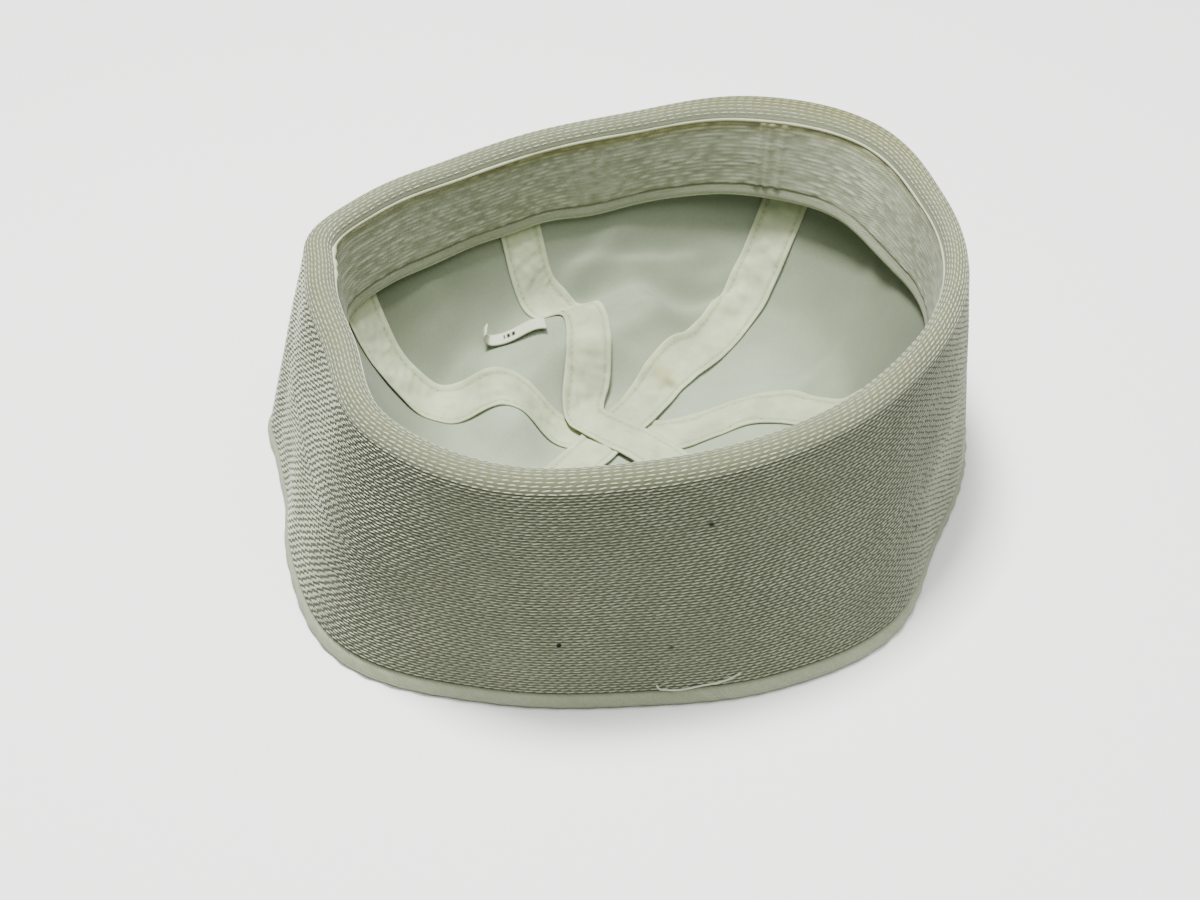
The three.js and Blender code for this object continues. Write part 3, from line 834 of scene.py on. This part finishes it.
def bandPath(angle, share, look):
    # inner face of the band from the lip (0) to its lower edge (1)
    top = rimHeight(angle) - cap["rollHeight"] - 0.3
    inner = rimRadius(angle) - rollSpan(angle)
    lean = cap["bandLean"] + creaseAt("lean", angle)
    around = np.radians(angle) * cap["bandMean"]
    wave = look["edgeWave"] * ripple(around, 0, 31, 42) * share
    depth = (cap["bandDepth"] - 1.3) * share + wave
    quilted = smoothStep(cap["bandDepth"] - look["hemDepth"] - depth, 0, 0.8)
    swell = look["puckerHeight"] * bandPuckers(around, depth, look) * quilted
    swell = swell + 0.9 * ripple(around, depth, 33, 46) * share
    away = around180(angle, look["joinAngle"])
    ridges = sum(0.7 * np.exp(-((away - k) / 0.5) ** 2) for k in look["joinRidges"]) * quilted
    return polar(angle, inner - lean * share - swell - ridges, top - depth)


def buildBand():
    look = bandLook
    angles = np.arange(look["columns"]) * 360 / look["columns"]
    shares = np.linspace(0, 1, look["rows"] + 1)[:, None]
    face = bandPath(angles[None], shares, look)
    low = face[-1]
    radial = polar(angles, 1.0, 0 * angles)
    thick = cap["bandThickness"]
    # the lower edge is rolled fuller than the cloth above it
    depth = (cap["bandDepth"] - 1.3) * shares[:, 0]
    fromEdge = depth[-1] - depth
    full = 0.12 * np.sqrt(np.clip(1 - ((fromEdge - 0.8) / 1.0) ** 2, 0, 1)) * (fromEdge < 1.8)
    crease = 0.3 * np.exp(-((fromEdge - look["hemDepth"]) / 0.3) ** 2)
    face = face - radial[None] * (full - crease)[:, None, None]
    edge = [low + radial * (thick / 2) * (1 - math.cos(turn)) - np.array([0, 0, 1.2]) * math.sin(turn)
            for turn in np.linspace(0.35, math.pi - 0.4, 7)]
    back = [face[k] + radial * thick for k in range(len(shares) - 1, -1, -10)]
    section = np.concatenate([face, np.stack(edge), np.stack(back)])
    # painted shade: darker between the pillows and along the crease above the lower hem; the plain hem strip
    # below the crease is darkened by half
    paintedShade = np.zeros((len(section), len(angles)))
    around = np.radians(angles) * cap["bandMean"]
    pits = 1 - bandPuckers(around[None], depth[:, None], look)
    paintedShade[:len(shares)] = np.where(fromEdge[:, None] > look["hemDepth"], pits * 0.7, 0.5)
    paintedShade[:len(shares)] += np.exp(-((fromEdge - look["hemDepth"]) / 0.3) ** 2)[:, None] * 0.8
    # a yellower, darker strip just below the lip, all round and most at the back
    yellowTint = np.zeros((len(section), len(angles)))
    away = around180(angles, look["yellowAngle"])
    byLip = np.exp(-((depth / 2.6) ** 2))[:, None]
    yellowTint[:len(shares)] = byLip * (0.35 + 0.65 * np.exp(-((away / 60) ** 2)))[None]
    piece = ringPiece("innerBandCloth", section[::-1], angles, {"paintedShade": paintedShade[::-1], "yellowTint": yellowTint[::-1]})
    finishPiece(piece, clothMaterial("quiltedCottonBand", look), ["inner_band"])
    return piece


# a thin folded strip of twill: a pale, nearly even line round the lip
weltLook = {
    "columns": 480, "radius": 0.62, "sides": 8,
    "lumps": [{"angle": 171, "spread": 1.6, "size": 0.7}, {"angle": 175, "spread": 1.2, "size": 0.8},
              {"angle": 179, "spread": 1.5, "size": 0.5}],
    "base": "#bcbea2", "second": "#b0b296", "cloudScale": 60.0, "grainScale": 900.0, "grainDepth": 0.3,
    "weave": "twill", "thread": 0.5, "weaveDepth": 0.6, "slubScale": 1500.0, "slubDepth": 0.6,
    "bump": 0.5, "bumpHeight": 0.1, "roughness": 0.9, "sheen": 0.1,
}


def buildWelt():
    look = weltLook
    angles = np.arange(look["columns"]) * 360 / look["columns"]
    around = np.radians(angles) * cap["bandMean"]
    radius = rimRadius(angles) - rollSpan(angles) + 0.25 - 0.2 * ripple(around, 0, 41, 30)
    height = rimHeight(angles) - cap["rollHeight"] + 0.1 + 0.25 * ripple(around, 0, 42, 40)
    size = look["radius"] * (1 + 0.15 * ripple(around, 0, 43, 9))
    for lump in look["lumps"]:
        # the welt's two ends are bunched where they were joined
        size = size + lump["size"] * np.exp(-(((angles - lump["angle"]) / lump["spread"]) ** 2))
    rows = [polar(angles, radius + size * math.cos(turn), height + size * math.sin(turn))
            for turn in np.arange(look["sides"]) * 2 * math.pi / look["sides"]]
    piece = ringPiece("lipWelt", np.stack(rows), angles)
    return finishPiece(piece, clothMaterial("foldedCottonWelt", look))


buildBand()
buildWelt()
print("band and welt")


# light washed twill: fine and matt, cooler than the brim, and greyer by the band with painted shade
crownLook = {
    "rows": 110, "columns": 56, "skirtRows": 8, "seamGap": 0.12, "thickness": 0.8,
    "firstShare": 0.012,      # the cloth starts this near the middle, under the tapes
    "taper": 0.55,            # share of width by length that a gore covers
    "tints": {"edgeShade": "#a4a798"},
    "base": "#929c86", "second": "#848e78", "cloudScale": 16.0, "grainScale": 1200.0, "grainDepth": 0.2,
    "weave": "twill", "thread": 0.5, "weaveDepth": 0.4, "slubScale": 900.0, "slubDepth": 0.7,
    "bump": 0.35, "bumpHeight": 0.08, "roughness": 0.88, "sheen": 0.2,
}


def buildCrown():
    look = crownLook
    material = clothMaterial("crownTwill", look)
    pieces = []
    for k, seam in enumerate(seams):
        shares = np.linspace(look["firstShare"], 1, look["rows"])
        probe = 0.02
        x0, y0 = planPoint(k + 0.0, shares)
        x1, y1 = planPoint(k + probe, shares)
        x2, y2 = planPoint(k + 1.0, shares)
        x3, y3 = planPoint(k + 1 - probe, shares)
        first = np.minimum(look["seamGap"] * probe / np.hypot(x1 - x0, y1 - y0), 0.3)
        last = np.minimum(look["seamGap"] * probe / np.hypot(x3 - x2, y3 - y2), 0.3)
        t = np.linspace(0, 1, look["columns"])[None]
        places = k + first[:, None] * (1 - t) + (1 - last[:, None]) * t
        x, y = planPoint(places, np.broadcast_to(shares[:, None], places.shape))
        middle = np.stack([x, y, crownHeight(x, y)], -1)
        normal = crownNormal(x, y)
        angle = seamAngle(places[-1], 1 + 0 * places[-1])
        inward = polar(angle, -1.0, 0 * angle)
        rows, normals = [middle], [normal]
        normal[-1] = (normal[-1] + inward) / np.linalg.norm(normal[-1] + inward, axis=-1, keepdims=True)
        for part in np.linspace(0, 1, look["skirtRows"] + 1)[1:]:
            topInset = cap["skirtInset"] + np.minimum(creaseAt("roll", angle), 0)
            radius = rimRadius(angle) - (cap["crownInset"] * (1 - part) + topInset * part)
            foot = crownProfile[-1, 1]
            z = foot + (rimHeight(angle) - cap["skirtBelowRim"] - foot) * part
            rows.append(polar(angle, radius, z)[None])
            normals.append(inward[None])
        middle, normal = np.concatenate(rows), np.concatenate(normals)
        # the cloth is drawn in a little along its seams, which shows from under the crown
        edge = np.minimum(t, 1 - t)
        width = np.linalg.norm(middle[:, -1] - middle[:, 0], axis=-1)[:, None]
        pulled = 0.5 * np.exp(-((edge * width / 1.6) ** 2))
        half = look["thickness"] / 2
        upper = middle + normal * half
        lower = middle - normal * (half - pulled[..., None] * 0.8)
        nextSeam = seams[(k + 1) % len(seams)]
        node = "crown_gore_" + seam["name"] + "_to_" + nextSeam["name"]
        # painted shade: the cloth is greyer out by the band, most at the two sides
        outer = np.minimum(np.hypot(x, y) / crownRadius(np.degrees(np.arctan2(y, x))), 1)
        turned = np.cos(np.arctan2(y, x)) ** 2
        edgeShade = smoothStep(outer, 0.45, 1.0) * (0.25 + 0.75 * turned)
        edgeShade = np.concatenate([edgeShade, np.repeat(edgeShade[-1:], look["skirtRows"], axis=0)])
        piece = sheetPiece("crownGore_" + seam["name"], upper, lower, {"edgeShade": edgeShade})
        finishPiece(piece, material, [node])
        pieces.append(piece)
    return pieces


gores = buildCrown()
print("crown of", len(gores), "gores")


# pressed twill tape: the palest cloth, blotched by washing, with two sewn rows
tapeLook = {
    "columns": 25, "rowStep": 1.0, "thickness": 0.55, "lift": 0.9, "stackStep": 0.8,
    "stitchInset": 1.9, "pitch": 2.3, "length": 1.7, "width": 0.34, "height": 0.2,
    "slant": 0.0, "unevenness": 6.0, "seed": 17,
    "base": "#b2ba98", "second": "#9aa284", "cloudScale": 75.0, "grainScale": 1200.0, "grainDepth": 0.2,
    "weave": "twill", "thread": 0.5, "weaveDepth": 0.4, "slubScale": 800.0, "slubDepth": 0.8,
    "bump": 0.4, "bumpHeight": 0.09, "roughness": 0.85, "sheen": 0.15,
    # painted shade: a darker tint along the stitch rows
    "tints": {"paintedShade": "#c2c6aa"},
    "marks": table(
        "at size strength colour hard wobble wobbleScale",
        (spot(10, 33, 13.5), 0.006, 0.75, "#d4c69c", 0.3, 0.8, 160.0),
        (spot(13.5, 30, 12), 0.0035, 0.7, "#c9b98e", 0.3, 0.8, 160.0),
        (spot(6, 38, 16), 0.004, 0.5, "#d8cba6", 0.3, 0.8, 160.0)),
}


def tapeCentre(tape):
    # the tape's middle line in plan: in along one seam and out along the other
    shares = np.linspace(0.0, 1.0, 160)
    inX, inY = planPoint(tape["from"] + 0.0, shares)
    outX, outY = planPoint(tape["to"] + 0.0, shares)
    x = np.concatenate([inX[::-1], outX[1:]])
    y = np.concatenate([inY[::-1], outY[1:]])
    # ease the corner where the two seams meet
    kernel = np.hanning(33)
    kernel /= kernel.sum()
    pad = len(kernel) // 2
    xs = np.convolve(np.pad(x, pad, mode="reflect", reflect_type="odd"), kernel, mode="valid")
    ys = np.convolve(np.pad(y, pad, mode="reflect", reflect_type="odd"), kernel, mode="valid")
    return xs, ys


def tapeSurface(x, y, lift):
    z = crownHeight(x, y)
    return np.stack([x, y, z], -1) + crownNormal(x, y) * lift[..., None]


def buildTapes():
    look = tapeLook
    material = clothMaterial("pressedTwillTape", look)
    made = []
    for layer, tape in enumerate(tapes):
        xs, ys = tapeCentre(tape)
        line = np.stack([xs, ys, crownHeight(xs, ys)], -1)
        length = distances(line, 0)
        rows = round(float(length[-1]) / look["rowStep"])
        even = np.linspace(0, length[-1], rows)
        x, y = np.interp(even, length, xs), np.interp(even, length, ys)
        dx, dy = np.gradient(x), np.gradient(y)
        size = np.hypot(dx, dy)
        sideX, sideY = -dy / size, dx / size
        v = np.linspace(-1, 1, look["columns"])[None]
        half = cap["tapeWidth"] / 2 * (1 + 0.02 * ripple(even, 0, 50 + layer, 40))
        px = x[:, None] + sideX[:, None] * v * half[:, None]
        py = y[:, None] + sideY[:, None] * v * half[:, None]
        fromMiddle = np.hypot(px - cap["crownCentre"][0], py - cap["crownCentre"][1])
        stack = layer * look["stackStep"] * (1 - smoothStep(fromMiddle, 20, 34))
        # soft waves between the stitch rows, small puckers pulled by the stitches, and folded edges
        # that stand off the crown in places
        fromEdge = (1 - np.abs(v)) * cap["tapeWidth"] / 2
        row = np.exp(-(((fromEdge - look["stitchInset"]) / 0.45) ** 2))
        wave = 1.5 * ripple(even[:, None], v * 5, 60 + layer, 13) * (1 - v ** 2)
        wave = wave + 0.7 * ripple(even[:, None], v * 6, 70 + layer, 5) * smoothStep(fromEdge, 0.5, 2.5)
        nearRow = np.exp(-(((fromEdge - look["stitchInset"]) / 1.6) ** 2))
        pulled = 0.22 * ripple(even[:, None], np.sign(v) * 20, 80 + layer, 3.2) * nearRow
        folded = 0.12 * smoothStep(2.1 - fromEdge, 0, 0.8)
        curl = np.clip(ripple(even[:, None], np.sign(v) * 37, 90 + layer, 34) + 0.25, 0, 1) * np.abs(v) ** 4
        lift = look["lift"] + stack + np.maximum(wave, 0) + pulled + folded + curl - 0.15 * row
        upper = tapeSurface(px, py, lift)
        lower = tapeSurface(px, py, lift - look["thickness"])
        # painted shade along the two stitch rows, where the cloth is drawn down
        piece = sheetPiece(tape["name"].replace("seam_tape", "seamTape"), upper[:, ::-1], lower[:, ::-1],
                           {"paintedShade": row * 0.6})
        finishPiece(piece, material, [tape["name"]])
        inset = 1 - look["stitchInset"] / (cap["tapeWidth"] / 2)
        lines, ups = [], []
        for side in (-inset, inset):
            sewn = np.stack([[np.interp(side, v[0], across) for across in upper[..., k]]
                             for k in range(3)], -1)
            lines.append(sewn)
            ups.append(crownNormal(sewn[:, 0], sewn[:, 1]))
        rowName = tape["name"].replace("seam_tape", "tapeStitches")
        rowPiece = stitchPiece(rowName, np.array(lines), np.array(ups),
                               False, thread, dict(look, seed=look["seed"] + layer))
        finishPiece(rowPiece, thread)
        made.append(piece)
    return made


buildTapes()
print("tapes")


# close woven ribbon: smooth and pale, with plain dark bars
labelLook = {
    "sewnEnd": (-27.5, 39.2), "freeEnd": (-44.5, 35.8), "width": 5.4, "thickness": 0.5,
    "steps": 44, "columns": 9,
    "clearance": 1.7, "rise": 1.6,
    "curlRadius": 2.5, "curlTurn": 140.0,   # the free end rolls back on itself by this much
    "base": "#bcc0a8", "second": "#b0b49d", "cloudScale": 80.0, "grainScale": 1500.0, "grainDepth": 0.15,
    "weave": "plain", "thread": 0.35, "weaveDepth": 0.4, "slubScale": 1500.0, "slubDepth": 0.4,
    "bump": 0.3, "bumpHeight": 0.05, "roughness": 0.8, "sheen": 0.1,
    "tints": {"print": "#1c1b17"},
}


def buildLabel():
    look = labelLook
    start, end = np.array(look["sewnEnd"], float), np.array(look["freeEnd"], float)
    length = np.linalg.norm(end - start)
    along = (end - start) / length
    across = np.array([-along[1], along[0]])
    curled = math.radians(look["curlTurn"]) * look["curlRadius"]
    way = np.linspace(0, length + curled, look["steps"])
    flat = np.minimum(way, length)
    turn = np.maximum(way - length, 0) / look["curlRadius"]
    reach = flat + look["curlRadius"] * np.sin(turn)
    lift = look["curlRadius"] * (1 - np.cos(turn))
    midX, midY = start[0] + along[0] * flat, start[1] + along[1] * flat
    base = crownHeight(midX, midY) + look["clearance"] + look["rise"] * (flat / length) ** 2
    side = np.linspace(-1, 1, look["columns"])[None] * look["width"] / 2
    twist = 0.12 * turn[:, None]          # the curled end leans over
    x = start[0] + along[0] * (reach[:, None] + twist * 0.8 * side) + across[0] * side
    y = start[1] + along[1] * (reach[:, None] + twist * 0.8 * side) + across[1] * side
    hollow = 0.25 * np.cos(side / look["width"] * 2 * math.pi) * (flat / length)[:, None] ** 2
    z = (base + lift)[:, None] + hollow
    upper = np.stack([x, y, z + 0 * x], -1)
    normal = np.cross(np.gradient(upper, axis=1), np.gradient(upper, axis=0))
    normal /= np.linalg.norm(normal, axis=-1, keepdims=True)
    normal *= np.where(normal[:1, :, 2:] < 0, -1, 1)
    lower = upper - normal * look["thickness"]
    # plain dark bars stand where a maker's words would be
    share = way / way[-1]
    bars = ((share > 0.42) & (share < 0.6)).astype(float) * (np.sin(way * 7) > -0.4)
    middle = np.abs(side[0]) < look["width"] * 0.14
    piece = sheetPiece("labelTag", upper, lower, {"print": bars[:, None] * middle[None]})
    return finishPiece(piece, clothMaterial("wovenLabelTape", look), ["label"])


buildLabel()
print("label")


stageLook = {"floor": "#f6f6f4", "target": (-10, -37, 40), "distance": 580.0, "elevation": 40.0, "lens": 60.0,
             "fill": 0.3}


def buildStage():
    look = stageLook
    mesh = bpy.data.meshes.new("floor")
    half = 3.0
    corners = [(-half, -half, 0), (half, -half, 0), (half, half, 0), (-half, half, 0)]
    mesh.from_pydata(corners, [], [(0, 1, 2, 3)])
    floor = bpy.data.objects.new("floor", mesh)
    bpy.context.scene.collection.objects.link(floor)
    paper = bpy.data.materials.new("palePaper")
    paper.use_nodes = True
    shader = paper.node_tree.nodes["Principled BSDF"]
    shader.inputs["Base Color"].default_value = srgb(look["floor"])
    shader.inputs["Roughness"].default_value = 0.95
    shader.inputs["Specular IOR Level"].default_value = 0.1
    mesh.materials.append(paper)
    world = bpy.data.worlds.new("studio")
    world.use_nodes = True
    world.node_tree.nodes["Background"].inputs[0].default_value = (1, 1, 1, 1)
    world.node_tree.nodes["Background"].inputs[1].default_value = look["fill"]
    bpy.context.scene.world = world
    lights = [
        {"name": "softboxOver", "at": (0.15, -0.3, 1.3), "size": 1.1, "power": 18.0},
        {"name": "softboxKey", "at": (-0.16, 0.12, 1.28), "size": 0.28, "power": 42.0},
    ]
    for lamp in lights:
        data = bpy.data.lights.new(lamp["name"], "AREA")
        data.shape = "SQUARE"
        data.size = lamp["size"]
        data.energy = lamp["power"]
        light = bpy.data.objects.new(lamp["name"], data)
        light.location = lamp["at"]
        aim = np.array([0, 0, 0.03]) - np.array(lamp["at"])
        tip = math.atan2(math.hypot(aim[0], aim[1]), -aim[2])
        light.rotation_euler = (tip, 0, math.atan2(aim[1], aim[0]) - math.pi / 2)
        bpy.context.scene.collection.objects.link(light)


def buildCamera():
    look = stageLook
    target = (np.array(look["target"]) + shift) * mm
    lean = math.radians(look["elevation"])
    data = bpy.data.cameras.new("camera")
    data.lens = look["lens"]
    data.sensor_width = 36.0
    camera = bpy.data.objects.new("camera", data)
    away = look["distance"] * mm
    camera.location = target + np.array([0, -math.cos(lean) * away, math.sin(lean) * away])
    camera.rotation_euler = (math.pi / 2 - lean, 0, 0)
    bpy.context.scene.collection.objects.link(camera)
    bpy.context.scene.camera = camera


buildStage()
buildCamera()
print("floor, lights and camera")
